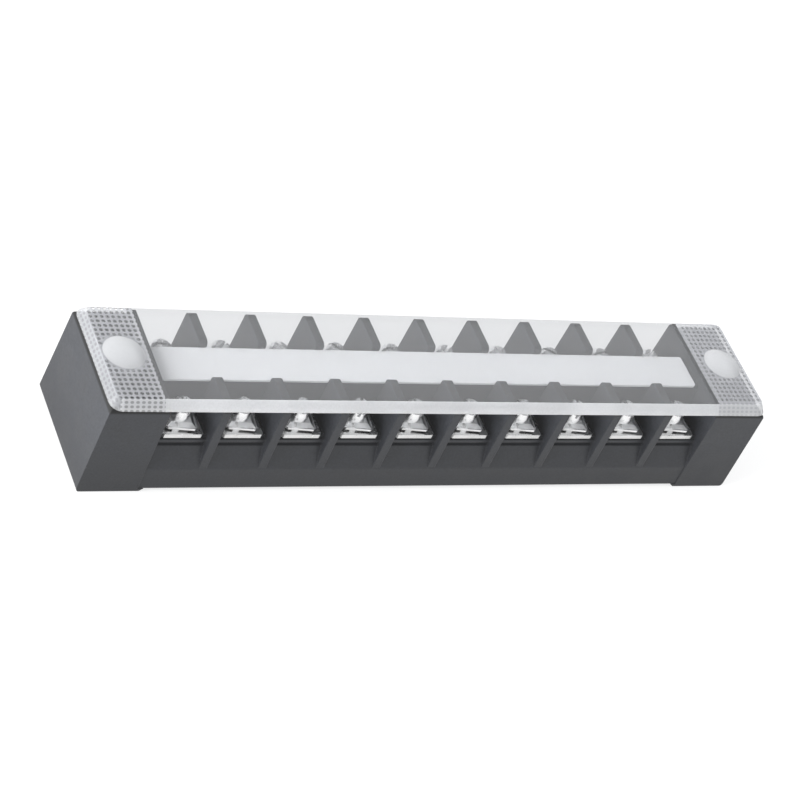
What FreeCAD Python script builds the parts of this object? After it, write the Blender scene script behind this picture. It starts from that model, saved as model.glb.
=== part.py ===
"""Double-row barrier terminal strip with ten poles and a clear lift-off cover.

Millimetres. X runs along the strip, Y goes from the front row to the back row,
Z is up, and the origin is the middle of the foot plane. One STEP file is
written for each piece, all in this one frame.
"""

import math
import os

import FreeCAD
import Part

V = FreeCAD.Vector
UP = V(0, 0, 1)

# Row of poles
poles = 10
pitch = 12.0
screw_setback = 0.425  # screw axis, inwards of the middle of the open conductor
barrier_thickness = 1.7
end_wall_inset = 0.75  # end block's inner face, inside the outermost half pitch

# Moulded base
end_block_length = 11.65
width_top = 24.7
side_draft = 0.5  # each long face leans out by this much at the foot
base_height = 20.9
end_draft = 0.3  # each end face leans out by this much at the foot
foot_height = 0.8
foot_ramp = 1.0
foot_corner_radius = 1.0
top_edge_radius = 1.1
barrier_drop = 0.2  # barrier tops stay below the cover by this much
barrier_setback = 0.35  # barrier edges stand behind the end blocks
barrier_corner_radius = 0.9
seat_depth = 8.5  # conductor seat below the top of the base
apron_drop = 2.2  # seat to the top of the sloped apron
apron_setback = 1.75
apron_height = 4.6
ledge_setback = 2.1
groove_depth = 0.6
rib_height = 0.7
rib_drop = 0.7

# Marking strip in the middle channel
strip_width = 8.0
strip_thickness = 0.4
strip_drop = 1.3  # top of the strip below the barrier tops
strip_short = 0.9  # gap left at the right-hand end
strip_corner_radius = 0.8
channel_clearance = 0.1

# Mounting holes in the end blocks
mount_inset = 5.5  # hole centre to the outer end of the base's top
mount_hole_radius = 2.2
counterbore_radius = 3.8
counterbore_depth = 8.0

# Conductor, one for each pole
conductor_width = 8.0
conductor_overhang = 1.35  # front plane at the top to the conductor's edge
conductor_thickness = 0.9
conductor_corner = 0.35
collar_width = 4.0
collar_length = 2.0
collar_clearance = 0.2
tip_clearance = 0.8

# Terminal screw
shank_radius = 1.25
thread_clearance = 0.04
shank_length = 6.4
head_radius = 1.85
head_side = 2.0
head_dome = 0.5
head_rim = 0.6  # width of the sloped rim round the flat crown
slot_width = 0.6
slot_depth = 1.2

# Clamp washer under each screw head
washer_width = 6.1
washer_front = 3.15  # screw axis to the washer's outer edge
washer_clearance = 0.55  # ridge wall to the washer's inner edge
washer_thickness = 0.45
washer_lift = 0.35  # air under the washer's rim
washer_rise = 0.45  # height of the pressed-up middle that carries the head
washer_rim = 0.3  # flat border round the pressed-up middle
washer_slope_side = 0.75  # run of the middle's slope at each side
washer_slope_front = 0.85
washer_slope_back = 0.2
washer_pad_width = 4.2
washer_hole_clearance = 0.08
washer_corner = 0.5
washer_turn = 5.5  # each washer is dragged round by its screw as it tightens
dimple_offset = 1.05
dimple_width = 0.6
dimple_length = 0.8

# Clear cover
cover_length_gap = 0.05  # cover's end behind the base's top edge
cover_overhang = 0.3  # cover's long edge in front of the base's top edge
cover_thickness = 1.8
bevel_long = 1.5
bevel_end = 0.95
cover_corner_radius = 2.2
fold_corner_radius = 1.2
button_radius = 4.0
button_height = 1.25
peg_radius = 3.75
peg_length = 3.4

# Derived levels and lengths
width_bottom = width_top + 2 * side_draft
half_run = poles * pitch / 2 - end_wall_inset
half_top = half_run + end_block_length
half_bottom = half_top + end_draft
barrier_top = base_height - barrier_drop
seat = base_height - seat_depth
plate_top = seat + conductor_thickness
channel_half = (strip_width + channel_clearance) / 2
strip_top = barrier_top - strip_drop
ridge_top = strip_top - strip_thickness
washer_underside = plate_top + washer_lift
washer_top = washer_underside + washer_thickness + washer_rise
head_top = washer_top + head_side + head_dome
conductor_reach = width_top / 2 - conductor_overhang
screw_offset = (channel_half + conductor_reach) / 2 - screw_setback
washer_back = screw_offset - channel_half - washer_clearance
mount_x = half_top - mount_inset
rows = (("front", -1), ("back", 1))


def pole_x(index):
    """X of a pole's middle, with index 0 at the left."""
    return (index - (poles - 1) / 2) * pitch


def front(z, setback=0.0):
    """Distance from the middle plane to the drafted front plane at height z."""
    slope = (width_bottom - width_top) / 2 / base_height
    return width_bottom / 2 - slope * z - setback


def outline(corners, place):
    """Closed wire through (a, b, radius) corners, each rounded by its radius.

    place turns the two in-plane numbers into a vector.
    """
    count = len(corners)
    edges = []
    starts = []
    ends = []
    arcs = []
    for i, (a, b, radius) in enumerate(corners):
        here = V(a, b, 0)
        before = V(corners[i - 1][0], corners[i - 1][1], 0) - here
        after = V(corners[(i + 1) % count][0], corners[(i + 1) % count][1], 0) - here
        if radius <= 0:
            starts.append(here)
            ends.append(here)
            arcs.append(None)
            continue
        half = before.getAngle(after) / 2
        reach = min(radius / math.tan(half), before.Length * 0.45, after.Length * 0.45)
        radius = reach * math.tan(half)
        before.normalize()
        after.normalize()
        middle = before + after
        middle.normalize()
        centre = here + middle * (radius / math.sin(half))
        starts.append(here + before * reach)
        ends.append(here + after * reach)
        arcs.append(centre - middle * radius)
    for i in range(count):
        p, q = ends[i - 1], starts[i]
        if (q - p).Length > 1e-6:
            edges.append(Part.LineSegment(place(p.x, p.y), place(q.x, q.y)).toShape())
        if arcs[i] is not None:
            points = (starts[i], arcs[i], ends[i])
            edges.append(Part.Arc(*[place(s.x, s.y) for s in points]).toShape())
    return Part.Wire(edges)


def along_x(corners, x0, x1):
    """Prism along X from corners in (y, z)."""
    wire = outline(corners, lambda a, b: V(x0, a, b))
    return Part.Face(wire).extrude(V(x1 - x0, 0, 0))


def along_y(corners, y0, y1):
    """Prism along Y from corners in (x, z)."""
    wire = outline(corners, lambda a, b: V(a, y0, b))
    return Part.Face(wire).extrude(V(0, y1 - y0, 0))


def block(x0, x1, y0, y1, z0, z1):
    """Box between six planes."""
    return Part.makeBox(x1 - x0, y1 - y0, z1 - z0, V(x0, y0, z0))


def rectangle(half_x, y0, y1, z):
    """Four corners at height z, from the front left and round to the back left."""
    return [V(-half_x, y0, z), V(half_x, y0, z), V(half_x, y1, z), V(-half_x, y1, z)]


def rod(x, y, radius, z0, z1):
    """Upright cylinder."""
    return Part.makeCylinder(radius, z1 - z0, V(x, y, z0), UP)


def clip_upright(shape, size):
    """The same shape with its upright edges chamfered."""
    edges = []
    for edge in shape.Edges:
        ends = [vertex.Point for vertex in edge.Vertexes]
        if len(ends) == 2 and (ends[0] - ends[1]).cross(UP).Length < 1e-6:
            edges.append(edge)
    return shape.makeChamfer(size, edges)


def single(shape):
    """The shape without seams, as one solid."""
    return shape.removeSplitter().Solids[0]


def tapered(low, high):
    """Solid between two flat outlines whose edges run parallel, corner for corner."""
    count = len(low)
    outlines = [low, high]
    outlines += [[low[i - 1], low[i], high[i], high[i - 1]] for i in range(count)]
    faces = [Part.Face(Part.makePolygon(points + points[:1])) for points in outlines]
    solid = Part.Solid(Part.makeShell(faces))
    if solid.Volume < 0:
        solid.reverse()
    return solid


def turned(shape):
    """Half a turn about the vertical axis."""
    copy = shape.copy()
    copy.rotate(V(0, 0, 0), UP, 180)
    return copy


def end_block():
    """Right-hand end block: foot, ramp, drafted faces and rounded top edges."""
    foot_in = half_run - 0.1
    side = along_y(
        [
            (half_run, base_height, 0),
            (half_top, base_height, top_edge_radius),
            (half_bottom, 0, foot_corner_radius),
            (foot_in, 0, 0),
            (foot_in - foot_ramp, foot_height, 0),
            (half_run, foot_height, 0),
        ],
        -width_bottom,
        width_bottom,
    )
    section = along_x(
        [
            (-width_bottom / 2, 0, 0.3),
            (width_bottom / 2, 0, 0.3),
            (width_top / 2, base_height, top_edge_radius),
            (-width_top / 2, base_height, top_edge_radius),
        ],
        half_run - 2 * foot_ramp,
        half_bottom + 1,
    )
    body = side.common(section)
    body = body.cut(rod(mount_x, 0, mount_hole_radius, -1, base_height))
    bore_floor = base_height - counterbore_depth
    return body.cut(rod(mount_x, 0, counterbore_radius, bore_floor, base_height + 1))


def middle_section():
    """Corners of the front half of the section between two barriers."""
    apron_top = seat - apron_drop
    apron_foot = apron_top - apron_height
    shelf = front(seat, ledge_setback)
    apron_edge = front(apron_top, apron_setback)
    rib_top = seat - rib_drop
    rib_foot = rib_top - rib_height
    return [
        (-front(foot_height, 0.15), foot_height, 0),
        (-front(apron_foot, 0.2), apron_foot, 1.5),
        (-apron_edge, apron_top, 0),
        (-apron_edge + groove_depth, apron_top + 0.05, 0),
        (-apron_edge + groove_depth, rib_foot, 0),
        (-apron_edge + 0.05, rib_foot, 0),
        (-apron_edge + 0.05, rib_top, 0),
        (-shelf + 0.3, rib_top, 0),
        (-shelf + 0.3, seat, 0),
        (-channel_half, seat, 0),
        (-channel_half, ridge_top, 0),
    ]


def barrier(x):
    """Front half of one barrier."""
    inner = -channel_half
    low = seat - apron_drop - apron_height - 1
    return along_x(
        [
            (inner + 0.2, low, 0),
            (inner, low + 0.2, 0),
            (inner, barrier_top, barrier_corner_radius),
            (-front(barrier_top, barrier_setback), barrier_top, barrier_corner_radius),
            (-front(low, 0.25), low, 0),
        ],
        x - barrier_thickness / 2,
        x + barrier_thickness / 2,
    )


def make_base():
    """The moulded base with its barriers, seats, screw wells and mounting holes."""
    half_section = middle_section()
    other_half = [(-y, z, radius) for y, z, radius in reversed(half_section)]
    middle = along_x(half_section + other_half, -half_run, half_run)
    right = end_block()
    solids = [middle, right, turned(right)]
    for i in range(poles - 1):
        fence = barrier(pole_x(i) + pitch / 2)
        solids += [fence, fence.mirror(V(0, 0, 0), V(0, 1, 0))]
    base = solids[0].fuse(solids[1:]).removeSplitter()
    wells = []
    tip = washer_top - shank_length
    half_width = conductor_width / 2
    half_well = collar_width / 2 + collar_clearance
    for i in range(poles):
        x = pole_x(i)
        ridge = channel_half + 0.5
        wells.append(block(x - half_width, x + half_width, -ridge, ridge, seat, plate_top))
        for _, side in rows:
            y = side * screw_offset
            sides = (x - half_well, x + half_well, y - half_well, y + half_well)
            wells.append(block(*sides, tip - tip_clearance, seat + 0.1))
    return single(base.cut(Part.makeCompound(wells)))


def make_strip():
    """The bare white marking strip that lies in the middle channel."""
    half = strip_width / 2
    right = half_run - strip_short
    corners = [
        (-half_run, -half, 0),
        (right, -half, strip_corner_radius),
        (right, half, strip_corner_radius / 2),
        (-half_run, half, 0),
    ]
    wire = outline(corners, lambda a, b: V(a, b, ridge_top))
    return Part.Face(wire).extrude(V(0, 0, strip_thickness))


def make_conductor(x):
    """Flat strip through the ridge with a tapped collar under each screw."""
    half = conductor_width / 2
    plate = block(x - half, x + half, -conductor_reach, conductor_reach, seat, plate_top)
    plate = clip_upright(plate, conductor_corner)
    boss = collar_width / 2
    holes = []
    for _, side in rows:
        y = side * screw_offset
        collar = block(x - boss, x + boss, y - boss, y + boss, seat - collar_length, plate_top)
        plate = plate.fuse(collar)
        radius = shank_radius + thread_clearance
        holes.append(rod(x, y, radius, seat - collar_length - 1, plate_top + 1))
    return single(plate.cut(Part.makeCompound(holes)))


def make_washer(x, side):
    """Clamp washer: a pressed-up middle, a dimple with its foot and a pad below."""
    half = washer_width / 2
    rim_top = washer_underside + washer_thickness
    plate = block(-half, half, -washer_front, washer_back, washer_underside, rim_top)
    plate = clip_upright(plate, washer_corner)
    wide, outer, inner = half - washer_rim, washer_rim - washer_front, washer_back - washer_rim
    low = rectangle(wide, outer, inner, rim_top)
    seat_front, seat_back = outer + washer_slope_front, inner - washer_slope_back
    high = rectangle(wide - washer_slope_side, seat_front, seat_back, washer_top)
    middle = tapered(low, high)
    pad = washer_pad_width / 2
    foot_front = -washer_front + 0.02
    foot_back = foot_front + dimple_length + dimple_width
    foot = block(
        -dimple_offset - dimple_width,
        -dimple_offset + dimple_width,
        foot_front,
        foot_back,
        plate_top,
        washer_underside + 0.1,
    )
    washer = plate.fuse([middle, block(-pad, pad, -pad, pad, plate_top, washer_underside + 0.1), foot])
    bore = shank_radius + washer_hole_clearance
    pit_y = -washer_front + 0.3
    pit = block(
        -dimple_offset - dimple_width / 2,
        -dimple_offset + dimple_width / 2,
        pit_y,
        pit_y + dimple_length,
        rim_top - washer_thickness * 0.7,
        washer_top + 1,
    )
    washer = washer.cut(Part.makeCompound([rod(0, 0, bore, 0, base_height), pit]))
    washer.rotate(V(0, 0, 0), UP, -washer_turn)
    if side > 0:
        washer.rotate(V(0, 0, 0), UP, 180)
    washer.translate(V(x, side * screw_offset, 0))
    return single(washer)


def make_screw(x, side, angle):
    """Slotted terminal screw, its head resting on the washer."""
    side_top = washer_top + head_side
    tip = washer_top - shank_length
    profile = [
        Part.LineSegment(V(0, 0, tip), V(shank_radius, 0, tip)),
        Part.LineSegment(V(shank_radius, 0, tip), V(shank_radius, 0, washer_top)),
        Part.LineSegment(V(shank_radius, 0, washer_top), V(head_radius, 0, washer_top)),
        Part.LineSegment(V(head_radius, 0, washer_top), V(head_radius, 0, side_top)),
    ]
    crown = head_radius - head_rim
    profile.append(Part.LineSegment(V(head_radius, 0, side_top), V(crown, 0, head_top)))
    profile.append(Part.LineSegment(V(crown, 0, head_top), V(0, 0, head_top)))
    profile.append(Part.LineSegment(V(0, 0, head_top), V(0, 0, tip)))
    wire = Part.Wire([piece.toShape() for piece in profile])
    screw = Part.Face(wire).revolve(V(0, 0, 0), UP, 360)
    slot_floor = head_top - slot_depth
    reach = head_radius + 1
    slot = block(-slot_width / 2, slot_width / 2, -reach, reach, slot_floor, head_top + 1)
    slot.rotate(V(0, 0, 0), UP, angle)
    screw = screw.cut(slot)
    screw.translate(V(x, side * screw_offset, 0))
    return single(screw)


def rounded_rectangle(half_x, half_y, radius, z):
    """Closed outline of a plate at height z."""
    corners = [
        (-half_x, -half_y, radius),
        (half_x, -half_y, radius),
        (half_x, half_y, radius),
        (-half_x, half_y, radius),
    ]
    return outline(corners, lambda a, b: V(a, b, z))


def make_cover():
    """Clear plate with bevelled edges, two domed buttons and a peg below each."""
    half_x = half_top - cover_length_gap
    half_y = width_top / 2 + cover_overhang
    top = base_height + cover_thickness
    low = rounded_rectangle(half_x, half_y, cover_corner_radius, base_height)
    high = rounded_rectangle(half_x - bevel_end, half_y - bevel_long, fold_corner_radius, top)
    cover = Part.makeLoft([low, high], True, True)
    crown = (button_radius**2 + button_height**2) / (2 * button_height)
    for hand in (-1, 1):
        ball = Part.makeSphere(crown, V(hand * mount_x, 0, top + button_height - crown))
        cap = ball.common(rod(hand * mount_x, 0, button_radius, top - 0.2, top + crown))
        peg = rod(hand * mount_x, 0, peg_radius, base_height - peg_length, base_height + 0.2)
        cover = cover.fuse([cap, peg])
    return single(cover)


def slot_angle(index, side):
    """Angle at which a screw happens to have been left."""
    return (index * 47 + (side + 1) * 31 + 20) % 180


def main():
    """Write one STEP file for each piece."""
    os.makedirs("parts", exist_ok=True)
    make_base().exportStep("parts/base.step")
    make_cover().exportStep("parts/cover.step")
    make_strip().exportStep("parts/marking_strip.step")
    for i in range(poles):
        x = pole_x(i)
        number = f"{i + 1:02d}"
        make_conductor(x).exportStep(f"parts/conductor_{number}.step")
        for row, side in rows:
            make_washer(x, side).exportStep(f"parts/washer_{row}_{number}.step")
            screw = make_screw(x, side, slot_angle(i, side))
            screw.exportStep(f"parts/screw_{row}_{number}.step")


main()
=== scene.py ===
"""Looks for a double-row barrier terminal strip with a clear lift-off cover.

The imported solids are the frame: the moulded base, the conductors, the clamp
washers, the screws and the marking strip keep their own meshes and get their
finishes here. The clear cover is dressed as a piece of its own, with a smooth
window, finely dotted ends, frosted edges and two frosted buttons.
All lengths are in metres, in the frame of the solids.
"""

import logging
import math
from dataclasses import dataclass, field
from enum import Enum

import bmesh
import bpy
from mathutils import Matrix, Vector


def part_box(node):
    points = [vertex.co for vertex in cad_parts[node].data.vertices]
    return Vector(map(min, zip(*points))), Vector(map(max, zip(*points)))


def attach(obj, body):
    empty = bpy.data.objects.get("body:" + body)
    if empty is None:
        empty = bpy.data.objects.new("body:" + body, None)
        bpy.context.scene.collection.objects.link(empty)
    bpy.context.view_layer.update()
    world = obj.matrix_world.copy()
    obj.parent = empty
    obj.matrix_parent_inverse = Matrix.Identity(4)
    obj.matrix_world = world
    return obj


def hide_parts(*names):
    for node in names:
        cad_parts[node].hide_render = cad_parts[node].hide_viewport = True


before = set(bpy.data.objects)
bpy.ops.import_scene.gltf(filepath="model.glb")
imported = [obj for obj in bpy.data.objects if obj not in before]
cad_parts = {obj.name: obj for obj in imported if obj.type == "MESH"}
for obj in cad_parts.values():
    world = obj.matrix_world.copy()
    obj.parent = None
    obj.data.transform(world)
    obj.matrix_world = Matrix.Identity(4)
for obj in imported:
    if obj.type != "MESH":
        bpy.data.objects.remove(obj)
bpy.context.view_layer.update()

MM = 0.001
MERGE_DISTANCE = 1e-7
LEVEL_TOLERANCE = 1e-6
NOISE_LOW, NOISE_HIGH = 0.3, 0.7
WHITE = (1.0, 1.0, 1.0, 1.0)

log = logging.getLogger("terminal_strip")


class Side(Enum):
    """The two rows of terminals, by the sign of their Y."""

    FRONT = -1
    BACK = 1


class Zone(Enum):
    """The surfaces of the clear cover, by material slot."""

    WINDOW = 0
    DOTTED = 1
    FROSTED = 2
    BUTTON = 3
    UNDERSIDE = 4
    DOTTED_EDGE = 5
    # the bevels that face the ends, which get a darker copy of the dotted frosting as painted shade
    DOTTED_BEVEL_PAINTED_SHADE = 6


@dataclass(frozen=True)
class StripSizes:
    """Sizes shared with the solids, in metres."""

    poles: int = 10
    pitch: float = 12.0 * MM
    screw_offset: float = 7.1 * MM
    base_height: float = 20.9 * MM
    cover_top: float = 22.7 * MM
    half_length: float = 70.9 * MM
    half_width: float = 12.35 * MM
    mount_x: float = 65.4 * MM
    button_radius: float = 4.0 * MM
    peg_radius: float = 3.75 * MM
    shank_radius: float = 1.25 * MM
    thread_pitch: float = 0.45 * MM


SIZES = StripSizes()


# Node building helpers


def socket(
    tree: bpy.types.NodeTree, name: str, kind: str, output: bool = False, value: float | None = None
) -> None:
    """Add one named socket to a node group.

    Args:
        tree: The group to extend.
        name: The socket's name.
        kind: The socket type, such as "NodeSocketFloat".
        output: True for an output.
        value: Default of an input, if it has one.
    """
    item = tree.interface.new_socket(name=name, in_out="OUTPUT" if output else "INPUT", socket_type=kind)
    if value is not None:
        item.default_value = value


class NodeWriter:
    """Adds nodes to a tree and joins them in one call each."""

    def __init__(self, tree: bpy.types.NodeTree) -> None:
        """Keep the tree that is written to."""
        self.tree = tree

    def add(self, kind: str, inputs: dict | None = None, **settings: object) -> bpy.types.Node:
        """Add a node.

        Args:
            kind: The node's type.
            inputs: Socket name or number to a value or to another socket.
            settings: The node's own properties.

        Returns:
            The new node.
        """
        node = self.tree.nodes.new(kind)
        for key, value in settings.items():
            setattr(node, key, value)
        for key, value in (inputs or {}).items():
            self.join(value, node.inputs[key])
        return node

    def join(self, value: object, target: bpy.types.NodeSocket) -> None:
        """Link a socket, or set a plain value.

        Args:
            value: The socket or the plain value.
            target: The input that gets it.
        """
        if isinstance(value, bpy.types.NodeSocket):
            self.tree.links.new(value, target)
        else:
            target.default_value = value

    def math(self, operation: str, *values: object) -> bpy.types.NodeSocket:
        """Add a Math node and return its result."""
        node = self.add("ShaderNodeMath", dict(enumerate(values)), operation=operation)
        return node.outputs[0]

    def split(self, vector: object) -> bpy.types.bpy_prop_collection:
        """Add a Separate XYZ node and return its X, Y and Z."""
        return self.add("ShaderNodeSeparateXYZ", {0: vector}).outputs

    def distance(self, across: object, along: object) -> bpy.types.NodeSocket:
        """Length of the flat vector with these two parts."""
        squares = [self.math("MULTIPLY", part, part) for part in (across, along)]
        return self.math("SQRT", self.math("ADD", *squares))

    def noise(self, vector: object, scale: object, detail: float = 3.0) -> bpy.types.NodeSocket:
        """Add a Noise Texture and return its value."""
        inputs = {"Vector": vector, "Scale": scale, "Detail": detail, "Roughness": 0.5}
        return self.add("ShaderNodeTexNoise", inputs).outputs["Fac"]

    def remap(
        self, value: object, low: float, high: float, to_low: object, to_high: object
    ) -> bpy.types.NodeSocket:
        """Add a smooth Map Range node.

        Args:
            value: The value to spread.
            low: The value that becomes to_low.
            high: The value that becomes to_high.
            to_low: The result's first end.
            to_high: The result's second end.

        Returns:
            The result.
        """
        inputs = {"Value": value, "From Min": low, "From Max": high, "To Min": to_low, "To Max": to_high}
        node = self.add("ShaderNodeMapRange", inputs, interpolation_type="SMOOTHSTEP")
        return node.outputs[0]

    def spread(self, noise: object, to_low: float, to_high: float) -> bpy.types.NodeSocket:
        """Spread the middle of a noise's values over a range."""
        return self.remap(noise, NOISE_LOW, NOISE_HIGH, to_low, to_high)


class SurfaceEffects:
    """Shader node groups used by more than one finish, built once."""

    fine_share = 0.6
    ring_share = 0.5
    ring_shade = (0.94, 1.04)
    thread_weight = 8.0
    thread_gap = 0.05 * MM
    mottle_shade = (0.9, 1.05)

    def __init__(self) -> None:
        """Build every group."""
        self.grain = self._grain()
        self.rings = self._rings()
        self.brushed = self._brushed()

    def _grain(self) -> bpy.types.NodeTree:
        """Fine moulded grain over soft cloudy shading.

        Returns:
            A group that gives Shade, Gloss and Height.
        """
        tree = bpy.data.node_groups.new("moulded_grain", "ShaderNodeTree")
        socket(tree, "Vector", "NodeSocketVector")
        socket(tree, "Grain Scale", "NodeSocketFloat", value=2600.0)
        socket(tree, "Cloud Scale", "NodeSocketFloat", value=60.0)
        socket(tree, "Contrast", "NodeSocketFloat", value=0.2)
        for name in ("Shade", "Gloss", "Height"):
            socket(tree, name, "NodeSocketFloat", output=True)
        write = NodeWriter(tree)
        given = tree.nodes.new("NodeGroupInput").outputs
        result = tree.nodes.new("NodeGroupOutput").inputs
        fine = write.noise(given["Vector"], given["Grain Scale"], 2.0)
        cloud = write.noise(given["Vector"], given["Cloud Scale"], 3.0)
        fine_part = write.math("MULTIPLY", fine, self.fine_share)
        cloud_part = write.math("MULTIPLY", cloud, 1.0 - self.fine_share)
        mixed = write.math("ADD", fine_part, cloud_part)
        centred = write.math("SUBTRACT", mixed, 0.5)
        swing = write.math("MULTIPLY", centred, given["Contrast"])
        write.join(write.math("ADD", 1.0, swing), result["Shade"])
        write.join(cloud, result["Gloss"])
        write.join(fine, result["Height"])
        return tree

    def _rings(self) -> bpy.types.NodeTree:
        """Turning marks round each screw's own axis, and thread crests below the head.

        Returns:
            A group that gives Height and Shade.
        """
        tree = bpy.data.node_groups.new("turning_marks", "ShaderNodeTree")
        socket(tree, "Vector", "NodeSocketVector")
        socket(tree, "Pitch", "NodeSocketFloat", value=SIZES.pitch)
        socket(tree, "Row Offset", "NodeSocketFloat", value=SIZES.screw_offset)
        socket(tree, "Ring Scale", "NodeSocketFloat", value=26000.0)
        socket(tree, "Thread Radius", "NodeSocketFloat", value=SIZES.shank_radius + self.thread_gap)
        socket(tree, "Thread Pitch", "NodeSocketFloat", value=SIZES.thread_pitch)
        for name in ("Height", "Shade"):
            socket(tree, name, "NodeSocketFloat", output=True)
        write = NodeWriter(tree)
        given = tree.nodes.new("NodeGroupInput").outputs
        result = tree.nodes.new("NodeGroupOutput").inputs
        split = write.split(given["Vector"])
        half = write.math("MULTIPLY", given["Pitch"], 0.5)
        shifted = write.math("ADD", split["X"], half)
        along = write.math("WRAP", shifted, half, write.math("MULTIPLY", half, -1.0))
        across = write.math("SUBTRACT", write.math("ABSOLUTE", split["Y"]), given["Row Offset"])
        radius = write.distance(along, across)
        rings = write.math("SINE", write.math("MULTIPLY", radius, given["Ring Scale"]))
        turns = write.math("DIVIDE", split["Z"], given["Thread Pitch"])
        crest = write.math("PINGPONG", turns, 0.5)
        on_shank = write.math("LESS_THAN", radius, given["Thread Radius"])
        thread = write.math("MULTIPLY", write.math("MULTIPLY", crest, self.thread_weight), on_shank)
        ring_part = write.math("MULTIPLY", rings, self.ring_share)
        write.join(write.math("ADD", ring_part, thread), result["Height"])
        write.join(write.remap(rings, -1.0, 1.0, *self.ring_shade), result["Shade"])
        return tree

    def _brushed(self) -> bpy.types.NodeTree:
        """Drawn metal: long fine scratches along one axis with a faint mottle.

        Returns:
            A group that gives Height, Shade and Gloss.
        """
        tree = bpy.data.node_groups.new("drawn_metal", "ShaderNodeTree")
        socket(tree, "Vector", "NodeSocketVector")
        socket(tree, "Across", "NodeSocketFloat", value=9000.0)
        socket(tree, "Along", "NodeSocketFloat", value=260.0)
        socket(tree, "Mottle", "NodeSocketFloat", value=420.0)
        for name in ("Height", "Shade", "Gloss"):
            socket(tree, name, "NodeSocketFloat", output=True)
        write = NodeWriter(tree)
        given = tree.nodes.new("NodeGroupInput").outputs
        result = tree.nodes.new("NodeGroupOutput").inputs
        scales = {"X": given["Across"], "Y": given["Along"], "Z": given["Across"]}
        stretch = write.add("ShaderNodeCombineXYZ", scales).outputs[0]
        pair = {0: given["Vector"], 1: stretch}
        vector = write.add("ShaderNodeVectorMath", pair, operation="MULTIPLY").outputs[0]
        lines = write.noise(vector, 1.0, 2.0)
        mottle = write.noise(given["Vector"], given["Mottle"], 3.0)
        write.join(lines, result["Height"])
        write.join(write.spread(mottle, *self.mottle_shade), result["Shade"])
        write.join(write.spread(mottle, 0.0, 1.0), result["Gloss"])
        return tree


# Finishes


@dataclass(frozen=True)
class Finish:
    """What every finish has: a name and an unlit colour in linear light."""

    name: str
    colour: tuple[float, float, float]

    def start(self) -> tuple[bpy.types.Material, NodeWriter, bpy.types.Node, bpy.types.NodeSocket]:
        """Make an empty material.

        Returns:
            The material, its writer, its Principled shader and its Object coordinates.
        """
        material = bpy.data.materials.new(self.name)
        material.use_nodes = True
        write = NodeWriter(material.node_tree)
        shader = material.node_tree.nodes["Principled BSDF"]
        shader.inputs["Base Color"].default_value = (*self.colour, 1.0)
        place = write.add("ShaderNodeTexCoord").outputs["Object"]
        return material, write, shader, place

    def tint(self, write: NodeWriter, shader: bpy.types.Node, shade: bpy.types.NodeSocket) -> None:
        """Drive the base colour with a shade that multiplies the finish's own colour.

        Args:
            write: The material's writer.
            shader: The Principled shader.
            shade: The shade's socket.
        """
        grey = write.add("ShaderNodeCombineColor", {"Red": shade, "Green": shade, "Blue": shade}).outputs[0]
        mix = write.add("ShaderNodeMix", data_type="RGBA", blend_type="MULTIPLY")
        mix.inputs["Factor"].default_value = 1.0
        mix.inputs["A"].default_value = (*self.colour, 1.0)
        write.join(grey, mix.inputs["B"])
        write.join(mix.outputs["Result"], shader.inputs["Base Color"])

    @staticmethod
    def bump(
        write: NodeWriter,
        shader: bpy.types.Node,
        height: bpy.types.NodeSocket,
        strength: float,
        depth: float,
    ) -> bpy.types.Node:
        """Feed a height to the shader's normal.

        Args:
            write: The material's writer.
            shader: The Principled shader.
            height: The height's socket.
            strength: Share of the bump that shows.
            depth: Depth in metres of a height of one.

        Returns:
            The bump node.
        """
        bump = write.add("ShaderNodeBump", {"Height": height, "Strength": strength, "Distance": depth})
        write.join(bump.outputs[0], shader.inputs["Normal"])
        return bump

    @staticmethod
    def let_light_through(write: NodeWriter, shader: bpy.types.Node, share: float) -> None:
        """Let shadow rays through, so that lamps and sky light what lies below the plastic.

        Args:
            write: The material's writer.
            shader: The Principled shader.
            share: Share of the light that gets through.
        """
        through = write.add("ShaderNodeBsdfTransparent", {"Color": (share, share, share, 1.0)})
        path = write.add("ShaderNodeLightPath").outputs["Is Shadow Ray"]
        mix = write.add("ShaderNodeMixShader", {0: path, 1: shader.outputs[0], 2: through.outputs[0]})
        write.join(mix.outputs[0], write.tree.nodes["Material Output"].inputs["Surface"])


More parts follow.
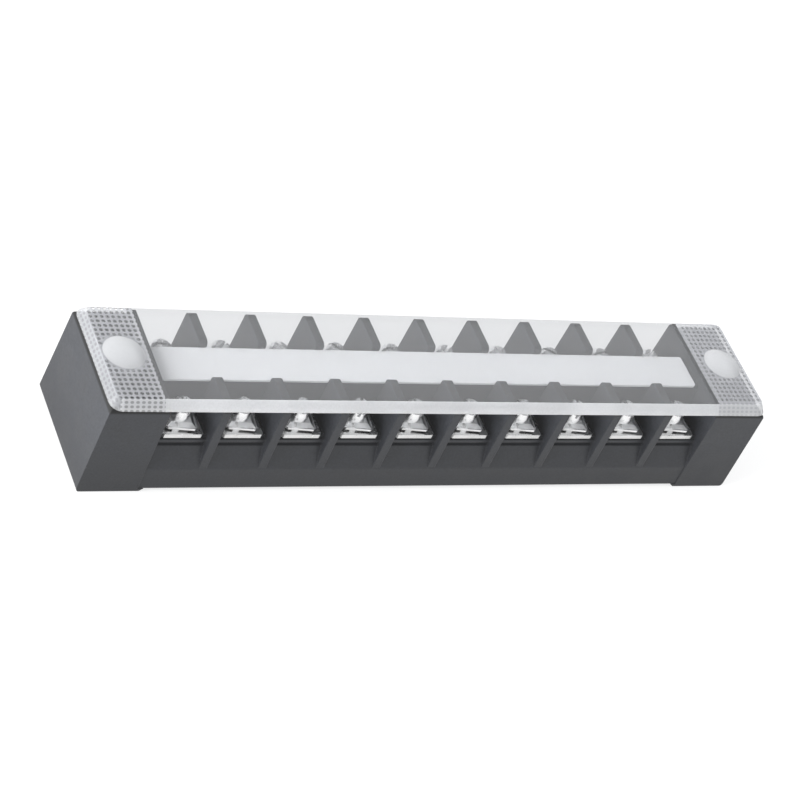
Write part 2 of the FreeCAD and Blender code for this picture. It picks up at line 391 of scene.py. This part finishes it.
@dataclass(frozen=True)
class MouldedFinish(Finish):
    """Opaque moulded plastic, fine grain, painted shade at the feet, painted shadow below the cover's rim.

    The stray light is a faint light of the skin's own, which stands in for the lifted shadows
    of a picture taken before a white background.
    """

    roughness: float = 0.5
    roughness_swing: float = 0.12
    grain_scale: float = 2600.0
    cloud_scale: float = 60.0
    contrast: float = 0.25
    bump_strength: float = 0.5
    depth: float = 0.00001
    specular: float = 0.5
    stray_light: float = 0.0
    edge_radius: float = 0.0
    edge_samples: int = 4
    foot_painted_shade: float = 1.0
    foot_reach: float = 0.8 * SIZES.base_height
    cover_rim_painted_shadow: float = 1.0
    painted_shadow_width: float = 1.15 * MM
    painted_shadow_side: float = 0.3
    painted_shadow_rise: float = 0.5

    def build(self, effects: SurfaceEffects) -> bpy.types.Material:
        """Make the material from the grain group.

        Args:
            effects: The shared node groups.

        Returns:
            The material.
        """
        material, write, shader, place = self.start()
        grain = write.add("ShaderNodeGroup", node_tree=effects.grain)
        write.join(place, grain.inputs["Vector"])
        grain.inputs["Grain Scale"].default_value = self.grain_scale
        grain.inputs["Cloud Scale"].default_value = self.cloud_scale
        grain.inputs["Contrast"].default_value = self.contrast
        # painted shade towards the feet and a painted shadow below the cover's rim darken the colour
        fade = self.painted_shade_by_height(write, write.split(place))
        self.tint(write, shader, write.math("MULTIPLY", grain.outputs["Shade"], fade))
        low = self.roughness - self.roughness_swing / 2
        gloss = write.spread(grain.outputs["Gloss"], low, low + self.roughness_swing)
        write.join(gloss, shader.inputs["Roughness"])
        shader.inputs["Specular IOR Level"].default_value = self.specular
        shader.inputs["Emission Color"].default_value = WHITE
        shader.inputs["Emission Strength"].default_value = self.stray_light
        bump = self.bump(write, shader, grain.outputs["Height"], self.bump_strength, self.depth)
        if self.edge_radius:
            soft = write.add("ShaderNodeBevel", {"Radius": self.edge_radius}, samples=self.edge_samples)
            write.join(soft.outputs[0], bump.inputs["Normal"])
        return material

    def painted_shade_by_height(self, write: NodeWriter, split: bpy.types.bpy_prop_collection) -> bpy.types.NodeSocket:
        """Painted shade towards the feet and a painted shadow below the cover's rim.

        Args:
            write: The material's writer.
            split: The X, Y and Z of each point.

        Returns:
            A factor for the colour.
        """
        # painted shade: the colour darkens towards the feet
        fade = write.remap(split["Z"], 0.0, self.foot_reach, self.foot_painted_shade, 1.0)
        # painted shadow: the colour darkens in a band just below the cover's rim, near the outer faces
        past = []
        for axis, half in (("X", SIZES.half_length), ("Y", SIZES.half_width)):
            out = write.math("ABSOLUTE", split[axis])
            past.append(write.math("SUBTRACT", out, half - self.painted_shadow_width))
        rim = write.remap(write.math("MAXIMUM", *past), 0.0, self.painted_shadow_width * self.painted_shadow_side, 0.0, 1.0)
        low = SIZES.base_height - self.painted_shadow_width
        rise = write.remap(split["Z"], low, low + self.painted_shadow_width * self.painted_shadow_rise, 0.0, 1.0)
        under_rim_shadow = write.remap(write.math("MULTIPLY", rim, rise), 0.0, 1.0, 1.0, self.cover_rim_painted_shadow)
        return write.math("MULTIPLY", fade, under_rim_shadow)


@dataclass(frozen=True)
class DrawnMetalFinish(Finish):
    """Plated flat metal with drawing marks."""

    roughness: float = 0.28
    roughness_swing: float = 0.12
    across: float = 9000.0
    along: float = 260.0
    bump_strength: float = 0.4
    depth: float = 0.000004

    def build(self, effects: SurfaceEffects) -> bpy.types.Material:
        """Make the material from the drawn metal group.

        Args:
            effects: The shared node groups.

        Returns:
            The material.
        """
        material, write, shader, place = self.start()
        drawn = write.add("ShaderNodeGroup", node_tree=effects.brushed)
        write.join(place, drawn.inputs["Vector"])
        drawn.inputs["Across"].default_value = self.across
        drawn.inputs["Along"].default_value = self.along
        self.tint(write, shader, drawn.outputs["Shade"])
        low = self.roughness - self.roughness_swing / 2
        gloss = write.remap(drawn.outputs["Gloss"], 0.0, 1.0, low, low + self.roughness_swing)
        write.join(gloss, shader.inputs["Roughness"])
        shader.inputs["Metallic"].default_value = 1.0
        self.bump(write, shader, drawn.outputs["Height"], self.bump_strength, self.depth)
        return material


@dataclass(frozen=True)
class TurnedMetalFinish(Finish):
    """Plated screw metal with turning marks and a thread on the shank."""

    roughness: float = 0.2
    smoother: float = 0.05
    rougher: float = 0.07
    blotch_scale: float = 900.0
    bump_strength: float = 0.35
    depth: float = 0.000012

    def build(self, effects: SurfaceEffects) -> bpy.types.Material:
        """Make the material from the turning marks group.

        Args:
            effects: The shared node groups.

        Returns:
            The material.
        """
        material, write, shader, place = self.start()
        rings = write.add("ShaderNodeGroup", node_tree=effects.rings)
        write.join(place, rings.inputs["Vector"])
        self.tint(write, shader, rings.outputs["Shade"])
        blotch = write.noise(place, self.blotch_scale)
        gloss = write.spread(blotch, self.roughness - self.smoother, self.roughness + self.rougher)
        write.join(gloss, shader.inputs["Roughness"])
        shader.inputs["Metallic"].default_value = 1.0
        self.bump(write, shader, rings.outputs["Height"], self.bump_strength, self.depth)
        return material


@dataclass(frozen=True)
class ClearFinish(Finish):
    """Clear plastic that lets shadow rays through."""

    roughness: float = 0.03
    gloss_swing: float = 0.5
    ior: float = 1.42
    haze: float = 0.068
    shade: float = 0.85
    flow_scale: float = 90.0
    bump_strength: float = 0.05
    depth: float = 0.0002

    def build(self, effects: SurfaceEffects) -> bpy.types.Material:
        """Make the material, with a slight haze and the flow of the moulding in its surface.

        Args:
            effects: The shared node groups, which clear plastic has no need of.

        Returns:
            The material.
        """
        material, write, shader, place = self.start()
        shader.inputs["Transmission Weight"].default_value = 1.0 - self.haze
        shader.inputs["IOR"].default_value = self.ior
        flow = write.noise(place, self.flow_scale, 2.0)
        swing = self.roughness * self.gloss_swing
        gloss = write.spread(flow, self.roughness - swing, self.roughness + swing)
        write.join(gloss, shader.inputs["Roughness"])
        self.bump(write, shader, flow, self.bump_strength, self.depth)
        self.let_light_through(write, shader, self.shade)
        return material


@dataclass(frozen=True)
class VeiledFinish(Finish):
    """Frosted plastic: a pale veil that lets part of what is below show."""

    roughness: float = 0.5
    roughness_swing: float = 0.12
    veil: float = 0.9
    veil_swing: float = 0.06
    grain_scale: float = 3000.0
    bump_strength: float = 0.6
    depth: float = 0.00002
    specular: float = 0.1
    scatter: float = 0.8
    scatter_reach: float = 3.0 * MM
    flatten: float = 0.0
    contrast: float = 0.12
    shade: float = 0.85

    def veil_value(
        self, write: NodeWriter, place: bpy.types.NodeSocket, gloss: bpy.types.NodeSocket
    ) -> bpy.types.NodeSocket:
        """How much of the veil covers each point."""
        return write.spread(gloss, self.veil - self.veil_swing, self.veil + self.veil_swing)

    def build(self, effects: SurfaceEffects) -> bpy.types.Material:
        """Make the material from the grain group.

        Args:
            effects: The shared node groups.

        Returns:
            The material.
        """
        material, write, shader, place = self.start()
        grain = write.add("ShaderNodeGroup", node_tree=effects.grain)
        write.join(place, grain.inputs["Vector"])
        grain.inputs["Grain Scale"].default_value = self.grain_scale
        grain.inputs["Contrast"].default_value = self.contrast
        self.tint(write, shader, grain.outputs["Shade"])
        write.join(self.veil_value(write, place, grain.outputs["Gloss"]), shader.inputs["Alpha"])
        low = self.roughness - self.roughness_swing / 2
        gloss = write.spread(grain.outputs["Gloss"], low, low + self.roughness_swing)
        write.join(gloss, shader.inputs["Roughness"])
        bump = self.bump(write, shader, grain.outputs["Height"], self.bump_strength, self.depth)
        if self.flatten:
            normal = write.add("ShaderNodeNewGeometry").outputs["Normal"]
            pair = {0: normal, 1: (0.0, 0.0, self.flatten)}
            raised = write.add("ShaderNodeVectorMath", pair, operation="ADD").outputs[0]
            soft = write.add("ShaderNodeVectorMath", {0: raised}, operation="NORMALIZE").outputs[0]
            write.join(soft, bump.inputs["Normal"])
        shader.inputs["Specular IOR Level"].default_value = self.specular
        shader.inputs["Subsurface Weight"].default_value = self.scatter
        shader.inputs["Subsurface Radius"].default_value = (1.0, 1.0, 1.0)
        shader.inputs["Subsurface Scale"].default_value = self.scatter_reach
        self.let_light_through(write, shader, self.shade)
        return material


@dataclass(frozen=True)
class LatticeFinish(VeiledFinish):
    """Frosted plastic with a square lattice of clear dots, fainter towards the right-hand end.

    The folded axis is the one along which a bevel runs down, so that its dots keep their spacing.
    """

    pitch: float = 1.1 * MM
    dot_radius: float = 0.36 * MM
    dot_softness: float = 0.15
    dot_veil: float = 0.05
    dot_veil_right: float = 0.7
    folded_axis: str = ""
    button_fade: float = 1.3 * MM
    end_fade: float = 3.0 * MM
    end_share: float = 0.8
    ragged: float = 0.92

    def veil_value(
        self, write: NodeWriter, place: bpy.types.NodeSocket, gloss: bpy.types.NodeSocket
    ) -> bpy.types.NodeSocket:
        """The veil, thinned inside each dot of the lattice.

        Args:
            write: The material's writer.
            place: The Object coordinates.
            gloss: The grain group's soft clouds.

        Returns:
            The veil at each point.
        """
        split = write.split(place)
        drop = write.math("SUBTRACT", SIZES.cover_top, split["Z"])
        folded = []
        for axis in ("X", "Y"):
            along = split[axis]
            if axis == self.folded_axis:
                along = write.math("ADD", write.math("ABSOLUTE", along), drop)
            folded.append(write.math("WRAP", along, self.pitch / 2, -self.pitch / 2))
        distance = write.distance(*folded)
        near, far = self.dot_radius * (1 - self.dot_softness), self.dot_radius * (1 + self.dot_softness)
        inside = write.remap(split["X"], -SIZES.mount_x, SIZES.mount_x, self.dot_veil, self.dot_veil_right)
        thinned = write.math("MAXIMUM", inside, self.faded(write, split))
        between = write.remap(distance, near, far, thinned, self.veil)
        return write.math("MULTIPLY", between, write.spread(gloss, self.ragged, 1.0))

    def faded(self, write: NodeWriter, split: bpy.types.bpy_prop_collection) -> bpy.types.NodeSocket:
        """Least veil inside a dot: the dots fade out round each button and at the outer end.

        Args:
            write: The material's writer.
            split: The X, Y and Z of each point.

        Returns:
            The least veil.
        """
        along = write.math("ABSOLUTE", split["X"])
        off = write.math("SUBTRACT", along, SIZES.mount_x)
        from_button = write.distance(off, split["Y"])
        rim = SIZES.button_radius
        by_button = write.remap(from_button, rim, rim + self.button_fade, self.veil, 0.0)
        end = SIZES.half_length
        by_end = write.remap(along, end - self.end_fade, end, 0.0, self.veil * self.end_share)
        return write.math("MAXIMUM", by_button, by_end)


MOULDING = MouldedFinish(
    "dark_moulding",
    (0.0195, 0.0212, 0.0255),
    roughness=0.45,
    cloud_scale=220.0,
    contrast=1.6,
    depth=0.00002,
    specular=0.33,
    stray_light=0.015,
    edge_radius=0.35 * MM,
    # painted shade towards the feet and a painted shadow below the cover's rim
    foot_painted_shade=0.65,
    cover_rim_painted_shadow=0.05,
)
MARKING_CARD = MouldedFinish(
    "marking_card",
    (0.91, 0.915, 0.925),
    roughness=0.6,
    grain_scale=1500.0,
    cloud_scale=200.0,
    contrast=0.14,
    depth=0.000006,
)
TIN_PLATE = DrawnMetalFinish("tin_plated_conductor", (0.66, 0.66, 0.655), roughness=0.3)
WASHER_PLATE = DrawnMetalFinish(
    "nickel_plated_washer", (0.93, 0.93, 0.93), roughness=0.34, across=5200.0, along=500.0
)
SCREW_PLATE = TurnedMetalFinish("nickel_plated_screw", (0.88, 0.88, 0.88), roughness=0.24)
WINDOW_PLASTIC = ClearFinish("clear_window", (0.65, 0.655, 0.665))
FROSTED_EDGE = VeiledFinish("frosted_edge", (0.48, 0.485, 0.495), veil=0.92, contrast=0.4)
FROSTED_BUTTON = VeiledFinish(
    "frosted_button", (0.435, 0.44, 0.45), roughness=0.35, veil=0.95, veil_swing=0.03, flatten=2.5
)
DOTTED_END = LatticeFinish("dotted_end", (0.36, 0.365, 0.38), veil=0.85)
DOTTED_EDGE = LatticeFinish(
    "dotted_edge", (0.44, 0.445, 0.455), veil=0.9, dot_veil=0.5, dot_veil_right=0.75, folded_axis="Y"
)
# painted shade: a darker copy of the dotted frosting for the bevels that face the ends
DOTTED_BEVEL_PAINTED_SHADE = LatticeFinish(
    "dotted_bevel_painted_shade", (0.245, 0.25, 0.26), veil=0.92, dot_veil=0.72, dot_veil_right=0.8, folded_axis="X"
)
CLEAR_UNDERSIDE = VeiledFinish(
    "clear_underside", (0.6, 0.6, 0.605), roughness=0.3, veil=0.03, veil_swing=0.02
)
COVER_FINISHES = {
    Zone.WINDOW: WINDOW_PLASTIC,
    Zone.DOTTED: DOTTED_END,
    Zone.FROSTED: FROSTED_EDGE,
    Zone.BUTTON: FROSTED_BUTTON,
    Zone.UNDERSIDE: CLEAR_UNDERSIDE,
    Zone.DOTTED_EDGE: DOTTED_EDGE,
    Zone.DOTTED_BEVEL_PAINTED_SHADE: DOTTED_BEVEL_PAINTED_SHADE,
}


@dataclass
class FinishBook:
    """Builds each finish once and hands out its material."""

    effects: SurfaceEffects = field(default_factory=SurfaceEffects)
    made: dict[str, bpy.types.Material] = field(default_factory=dict)

    def material(self, finish: Finish) -> bpy.types.Material:
        """The material of a finish.

        Args:
            finish: The finish.

        Returns:
            Its material, made on the first call.
        """
        if finish.name not in self.made:
            self.made[finish.name] = finish.build(self.effects)
        return self.made[finish.name]


def dress(obj: bpy.types.Object, material: bpy.types.Material) -> None:
    """Give an object one material in place of its own."""
    obj.data.materials.clear()
    obj.data.materials.append(material)


# Pieces


@dataclass
class MouldedBase:
    """The dark moulded base and the bare marking strip in its channel."""

    base_node: str = "base"
    strip_node: str = "marking_strip"

    def dress(self, book: FinishBook) -> None:
        """Give the base and the strip their finishes.

        Args:
            book: The finishes.
        """
        dress(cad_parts[self.base_node], book.material(MOULDING))
        dress(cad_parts[self.strip_node], book.material(MARKING_CARD))
        log.info("base and marking strip dressed")


@dataclass
class TerminalRow:
    """One row of screws and clamp washers."""

    side: Side
    poles: int = SIZES.poles

    def dress(self, book: FinishBook) -> None:
        """Give each washer and screw of the row its finish.

        Args:
            book: The finishes.
        """
        row = self.side.name.lower()
        for number in range(1, self.poles + 1):
            dress(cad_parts[f"washer_{row}_{number:02d}"], book.material(WASHER_PLATE))
            dress(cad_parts[f"screw_{row}_{number:02d}"], book.material(SCREW_PLATE))
        log.info("%s row dressed: %d washers and screws", row, self.poles)


@dataclass
class Conductors:
    """The flat conductors that join the two rows."""

    poles: int = SIZES.poles

    def dress(self, book: FinishBook) -> None:
        """Give each conductor its finish.

        Args:
            book: The finishes.
        """
        for number in range(1, self.poles + 1):
            dress(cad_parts[f"conductor_{number:02d}"], book.material(TIN_PLATE))
        log.info("%d conductors dressed", self.poles)


@dataclass
class ClearCover:
    """The lift-off cover, cut into its window, dotted ends, frosted edge and buttons.

    The lift keeps the shell's underside off the base's top, the reach draws the right-hand end out,
    and the left lean gives more of the left-hand corners to the bevel's darker finish, whose darkness is
    painted shade.
    """

    node: str = "cover"
    window_left: float = -60.7 * MM
    window_right: float = 59.2 * MM
    lift: float = 0.03 * MM
    reach: float = 0.25 * MM
    dot_height: float = 0.07 * MM
    dot_margin: float = 0.7 * MM
    dot_end_margin: float = 1.4 * MM
    dot_edge_margin: float = 2.5 * MM
    dot_sides: int = 10
    dot_crown: float = 0.6
    below_top: float = 0.01 * MM
    left_painted_shade_lean: float = 3.0
    flat_lean: float = 0.98

    def build(self, book: FinishBook) -> bpy.types.Object:
        """Make the cover's shell and its dots, both riding on the cover's body.

        Args:
            book: The finishes.

        Returns:
            The shell.
        """
        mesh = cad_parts[self.node].data.copy()
        mesh.name = "cover_shell"
        work = bmesh.new()
        work.from_mesh(mesh)
        bmesh.ops.remove_doubles(work, verts=work.verts, dist=MERGE_DISTANCE)
        for x in (self.window_left, self.window_right):
            everything = work.verts[:] + work.edges[:] + work.faces[:]
            plane = {"plane_co": (x, 0, 0), "plane_no": (1, 0, 0)}
            bmesh.ops.bisect_plane(work, geom=everything, dist=MERGE_DISTANCE, **plane)
        top = self._top(work)
        for face in work.faces:
            face.material_index = self._zone(face, top).value
            face.smooth = False
        for vert in work.verts:
            if abs(vert.co.z - SIZES.base_height) < LEVEL_TOLERANCE:
                vert.co.z += self.lift
            if vert.co.x > SIZES.mount_x + SIZES.button_radius:
                vert.co.x += self.reach
        mesh.materials.clear()
        for zone in Zone:
            mesh.materials.append(book.material(COVER_FINISHES[zone]))
        work.to_mesh(mesh)
        work.free()
        shell = bpy.data.objects.new("cover_shell", mesh)
        bpy.context.scene.collection.objects.link(shell)
        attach(shell, "cover")
        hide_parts(self.node)
        log.info("cover shell: %d faces", len(mesh.polygons))
        self._dots(book, top)
        return shell

    def _top(self, work: bmesh.types.BMesh) -> float:
        """Height of the cover's flat top, from its largest upward face."""
        upward = [face for face in work.faces if face.normal.z > self.flat_lean]
        return max(upward, key=lambda face: face.calc_area()).calc_center_median().z

    def _zone(self, face: bmesh.types.BMFace, top: float) -> Zone:
        """The zone that a face of the shell belongs to.

        Args:
            face: The face.
            top: Height of the cover's flat top.

        Returns:
            The zone.
        """
        middle = face.calc_center_median()
        reach = math.hypot(abs(middle.x) - SIZES.mount_x, middle.y)
        if middle.z > top + LEVEL_TOLERANCE:
            return Zone.BUTTON
        if middle.z < SIZES.base_height - LEVEL_TOLERANCE:
            return Zone.FROSTED
        if reach < SIZES.peg_radius and middle.z < top - self.below_top:
            return Zone.FROSTED
        over_window = self.window_left < middle.x < self.window_right
        flat = abs(face.normal.z) >= self.flat_lean
        if over_window:
            return Zone.WINDOW if flat else Zone.FROSTED
        if flat:
            return Zone.DOTTED if face.normal.z > 0 else Zone.UNDERSIDE
        # the end-facing bevels, and with the left lean more of the left corners, get the copy with painted
        # shade
        lean = self.left_painted_shade_lean if face.normal.x < 0 else 1.0
        return Zone.DOTTED_BEVEL_PAINTED_SHADE if abs(face.normal.x) * lean > abs(face.normal.y) else Zone.DOTTED_EDGE

    def _dots(self, book: FinishBook, top: float) -> None:
        """Set small raised dots over both ends with Geometry Nodes.

        Args:
            book: The finishes.
            top: Height of the cover's flat top.
        """
        tree = self._dot_tree(book.material(WINDOW_PLASTIC))
        holder = bpy.data.objects.new("dot_holder", bpy.data.meshes.new("dot_holder"))
        bpy.context.scene.collection.objects.link(holder)
        modifier = holder.modifiers.new("dots", "NODES")
        modifier.node_group = tree
        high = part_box(self.node)[1]
        values = {
            "Pitch": DOTTED_END.pitch,
            "Radius": DOTTED_END.dot_radius,
            "Height": self.dot_height,
            "Columns": 2 * int(high.x / DOTTED_END.pitch) + 1,
            "Rows": 2 * int(high.y / DOTTED_END.pitch) + 1,
            "Level": top,
            "Window Left": self.window_left - self.dot_margin,
            "Window Right": self.window_right + self.dot_margin,
            "End": high.x - self.dot_end_margin,
            "Edge": high.y - self.dot_edge_margin,
            "Button X": SIZES.mount_x,
            "Button Radius": SIZES.button_radius + DOTTED_END.dot_radius,
        }
        for item in tree.interface.items_tree:
            if item.item_type == "SOCKET" and item.in_out == "INPUT" and item.name in values:
                modifier[item.identifier] = values[item.name]
        graph = bpy.context.evaluated_depsgraph_get()
        mesh = bpy.data.meshes.new_from_object(holder.evaluated_get(graph))
        bpy.data.objects.remove(holder)
        mesh.name = "cover_dots"
        dots = bpy.data.objects.new("cover_dots", mesh)
        bpy.context.scene.collection.objects.link(dots)
        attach(dots, "cover")
        log.info("cover dots: %d faces", len(mesh.polygons))

    def _dot_tree(self, material: bpy.types.Material) -> bpy.types.NodeTree:
        """Geometry Nodes that fill both ends of the cover with dots.

        Args:
            material: The dots' material.

        Returns:
            The tree, with its sizes as named inputs.
        """
        tree = bpy.data.node_groups.new("dotted_ends", "GeometryNodeTree")
        lengths = ("Pitch", "Radius", "Height", "Level", "Window Left", "Window Right")
        for name in (*lengths, "End", "Edge", "Button X", "Button Radius"):
            socket(tree, name, "NodeSocketFloat", value=MM)
        for name in ("Columns", "Rows"):
            socket(tree, name, "NodeSocketInt", value=3)
        socket(tree, "Geometry", "NodeSocketGeometry", output=True)
        write = NodeWriter(tree)
        given = tree.nodes.new("NodeGroupInput").outputs
        result = tree.nodes.new("NodeGroupOutput").inputs
        grid = {}
        for name, axis in (("Columns", "X"), ("Rows", "Y")):
            gaps = write.math("SUBTRACT", given[name], 1.0)
            grid[f"Size {axis}"] = write.math("MULTIPLY", gaps, given["Pitch"])
            grid[f"Vertices {axis}"] = given[name]
        sheet = write.add("GeometryNodeMeshGrid", grid)
        points = write.add("GeometryNodeMeshToPoints", {"Mesh": sheet.outputs[0]})
        place = write.split(write.add("GeometryNodeInputPosition").outputs[0])
        along = write.math("ABSOLUTE", place["X"])
        across = write.math("ABSOLUTE", place["Y"])
        past_left = write.math("GREATER_THAN", place["X"], given["Window Left"])
        before_right = write.math("LESS_THAN", place["X"], given["Window Right"])
        over_window = write.math("MULTIPLY", past_left, before_right)
        past_end = write.math("GREATER_THAN", along, given["End"])
        past_edge = write.math("GREATER_THAN", across, given["Edge"])
        off = write.math("SUBTRACT", along, given["Button X"])
        under_button = write.math("LESS_THAN", write.distance(off, across), given["Button Radius"])
        outside = over_window
        for reason in (past_end, past_edge, under_button):
            outside = write.math("MAXIMUM", outside, reason)
        cut = {"Geometry": points.outputs[0], "Selection": outside}
        kept = write.add("GeometryNodeDeleteGeometry", cut, domain="POINT")
        cone = {"Vertices": self.dot_sides, "Radius Bottom": given["Radius"], "Depth": given["Height"]}
        cone["Radius Top"] = write.math("MULTIPLY", given["Radius"], self.dot_crown)
        dot = write.add("GeometryNodeMeshCone", cone)
        pair = {"Points": kept.outputs[0], "Instance": dot.outputs["Mesh"]}
        spread = write.add("GeometryNodeInstanceOnPoints", pair)
        lift = write.add("ShaderNodeCombineXYZ", {"Z": given["Level"]}).outputs[0]
        raised = write.add("GeometryNodeTransform", {"Geometry": spread.outputs[0], "Translation": lift})
        real = write.add("GeometryNodeRealizeInstances", {"Geometry": raised.outputs[0]})
        dressed = write.add("GeometryNodeSetMaterial", {"Geometry": real.outputs[0], "Material": material})
        write.join(dressed.outputs[0], result["Geometry"])
        return tree


# Studio


@dataclass(frozen=True)
class Softbox:
    """One soft square lamp aimed at the strip."""

    name: str
    place: tuple[float, float, float]
    size: float
    power: float

    def build(self) -> None:
        """Add the lamp."""
        lamp = bpy.data.lights.new(self.name, "AREA")
        lamp.size = self.size
        lamp.energy = self.power
        obj = bpy.data.objects.new(self.name, lamp)
        obj.location = self.place
        obj.rotation_euler = (-Vector(self.place)).to_track_quat("-Z", "Y").to_euler()
        bpy.context.scene.collection.objects.link(obj)


@dataclass
class Studio:
    """Pale floor, soft light and the camera."""

    camera_place: tuple[float, float, float] = (-0.25856, -0.30239, 0.33331)
    camera_right: tuple[float, float, float] = (0.86667, -0.33405, 0.37052)
    camera_down: tuple[float, float, float] = (0.00867, -0.73252, -0.68069)
    focal_pixels: float = 2675.2
    image_pixels: float = 800.0
    sensor: float = 36.0
    camera_reach: float = 50.0
    floor_size: float = 8.0
    floor_shade: float = 0.3
    floor_glow: float = 0.7
    floor_roughness: float = 0.9
    sky: float = 1.08
    sky_colour: tuple[float, float, float] = (0.975, 0.985, 1.0)
    lamps: tuple[Softbox, ...] = (Softbox("key", (-1.6, 0.0, 0.45), 1.2, 75.0),)

    def build(self) -> None:
        """Set up the floor, the lights and the camera."""
        self._floor()
        self._sky()
        for lamp in self.lamps:
            lamp.build()
        self._camera()
        log.info("studio: %d lamps", len(self.lamps))

    def _floor(self) -> None:
        """A plain pale floor under the feet."""
        mesh = bpy.data.meshes.new("floor")
        work = bmesh.new()
        bmesh.ops.create_grid(work, x_segments=1, y_segments=1, size=self.floor_size / 2)
        work.to_mesh(mesh)
        work.free()
        floor = bpy.data.objects.new("floor", mesh)
        bpy.context.scene.collection.objects.link(floor)
        material = bpy.data.materials.new("pale_floor")
        material.use_nodes = True
        shader = material.node_tree.nodes["Principled BSDF"]
        shader.inputs["Base Color"].default_value = (*[self.floor_shade] * 3, 1.0)
        shader.inputs["Roughness"].default_value = self.floor_roughness
        shader.inputs["Emission Color"].default_value = WHITE
        shader.inputs["Emission Strength"].default_value = self.floor_glow
        mesh.materials.append(material)

    def _sky(self) -> None:
        """An even pale sky."""
        world = bpy.data.worlds.new("studio")
        world.use_nodes = True
        back = world.node_tree.nodes["Background"]
        back.inputs["Color"].default_value = (*self.sky_colour, 1.0)
        back.inputs["Strength"].default_value = self.sky
        bpy.context.scene.world = world
        bpy.context.scene.view_settings.view_transform = "Standard"

    def _camera(self) -> None:
        """The camera at the photograph's angle."""
        data = bpy.data.cameras.new("camera")
        data.sensor_width = self.sensor
        data.lens = self.focal_pixels * self.sensor / self.image_pixels
        data.clip_end = self.camera_reach
        right = Vector(self.camera_right).normalized()
        up = -Vector(self.camera_down)
        up = (up - right * up.dot(right)).normalized()
        back = right.cross(up)
        turn = Matrix((right, up, back)).transposed().to_4x4()
        camera = bpy.data.objects.new("camera", data)
        camera.matrix_world = Matrix.Translation(self.camera_place) @ turn
        bpy.context.scene.collection.objects.link(camera)
        bpy.context.scene.camera = camera


def main() -> None:
    """Dress the strip and set up the studio."""
    logging.basicConfig(level=logging.INFO, format="%(name)s: %(message)s")
    book = FinishBook()
    MouldedBase().dress(book)
    Conductors().dress(book)
    for side in Side:
        TerminalRow(side).dress(book)
    ClearCover().build(book)
    Studio().build()


if __name__ == "__main__":
    main()
